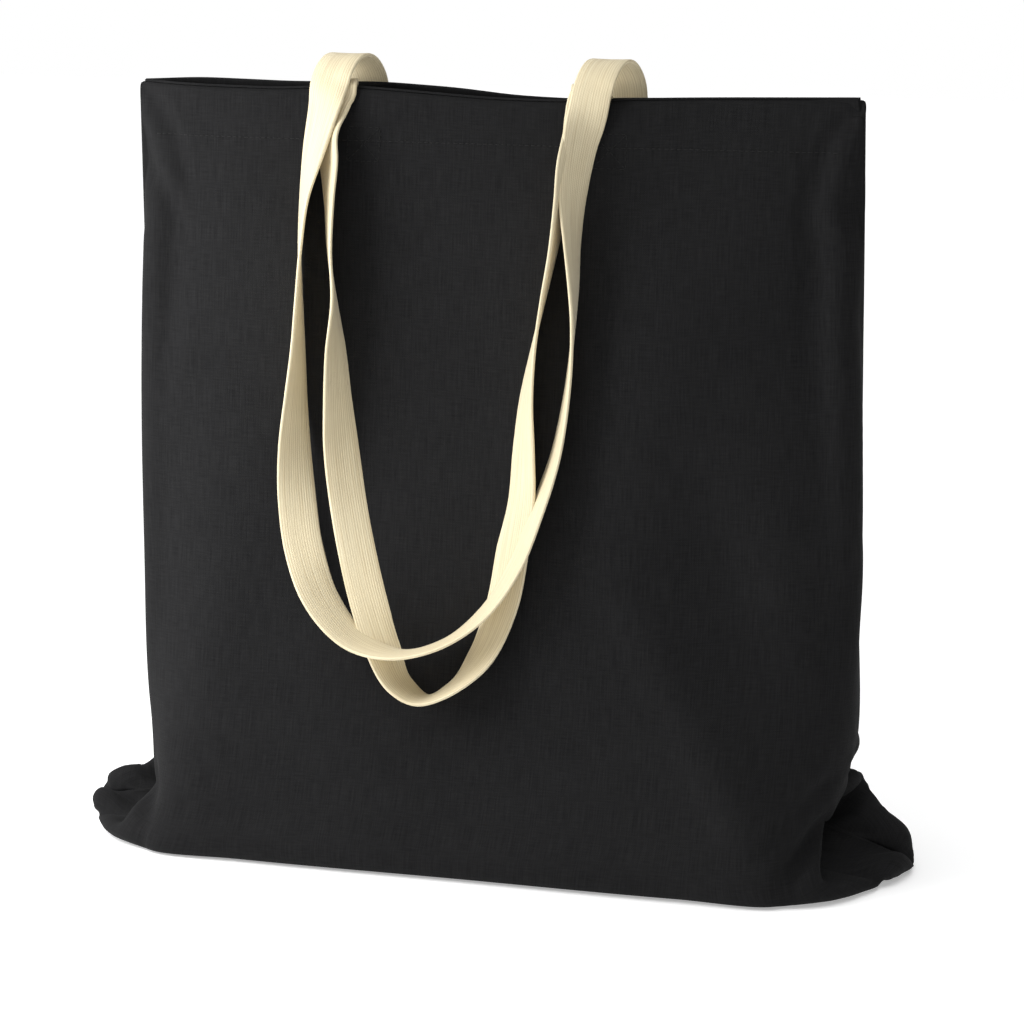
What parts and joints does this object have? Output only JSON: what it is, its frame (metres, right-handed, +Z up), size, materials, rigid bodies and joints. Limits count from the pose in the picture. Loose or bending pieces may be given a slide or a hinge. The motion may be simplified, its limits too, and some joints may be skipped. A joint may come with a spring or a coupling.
{
  "type": "canvas tote bag",
  "caption": "Flat-seamed canvas tote bag standing on a pushed-out base, with two webbing handles that hang over its front and lift together.",
  "frame": {"origin": "centre of the base, on the surface that the bag stands on", "axes": "+Z up, +X to the right along the width, -Y towards the front, where both handles hang"},
  "size_m": [0.45, 0.14, 0.411],
  "materials": {
    "charcoal_canvas": "matte",
    "cream_webbing": "matte",
    "dark_thread": "satin",
    "overlock_thread": "satin"
  },
  "bodies": {
    "bag": {"front_panel": "charcoal_canvas", "back_panel": "charcoal_canvas", "front_hem_fold": "charcoal_canvas", "back_hem_fold": "charcoal_canvas", "front_hem_stitching": "dark_thread", "back_hem_stitching": "dark_thread", "left_side_seam": "charcoal_canvas", "right_side_seam": "charcoal_canvas", "left_side_overlock": "overlock_thread", "right_side_overlock": "overlock_thread", "bottom_seam": "charcoal_canvas", "bottom_overlock": "overlock_thread", "front_left_handle_end": "cream_webbing", "front_right_handle_end": "cream_webbing", "back_left_handle_end": "cream_webbing", "back_right_handle_end": "cream_webbing", "front_left_box_stitch": "dark_thread", "front_right_box_stitch": "dark_thread", "back_left_box_stitch": "dark_thread", "back_right_box_stitch": "dark_thread", "front_left_handle_bend": "cream_webbing", "front_right_handle_bend": "cream_webbing", "back_left_handle_bend": "cream_webbing", "back_right_handle_bend": "cream_webbing"},
    "back_handle": {"back_handle_loop": "cream_webbing"},
    "front_handle": {"front_handle_loop": "cream_webbing"}
  },
  "joints": [
    {"name": "back_handle_lift", "type": "hinge", "parent": "bag", "child": "back_handle", "pos_m": [0, -0.00115, 0.4171], "axis": [-1, 0, 0], "range_deg": [0, 180], "deforming": ["back_left_handle_bend", "back_right_handle_bend"]},
    {"name": "front_handle_lift", "type": "hinge", "parent": "bag", "child": "front_handle", "pos_m": [0, -0.0085, 0.3982], "axis": [-1, 0, 0], "range_deg": [0, 180], "deforming": ["front_left_handle_bend", "front_right_handle_bend"]}
  ],
  "couplings": [
    {"joint": "front_handle_lift", "follows": "back_handle_lift", "ratio": 1}
  ]
}
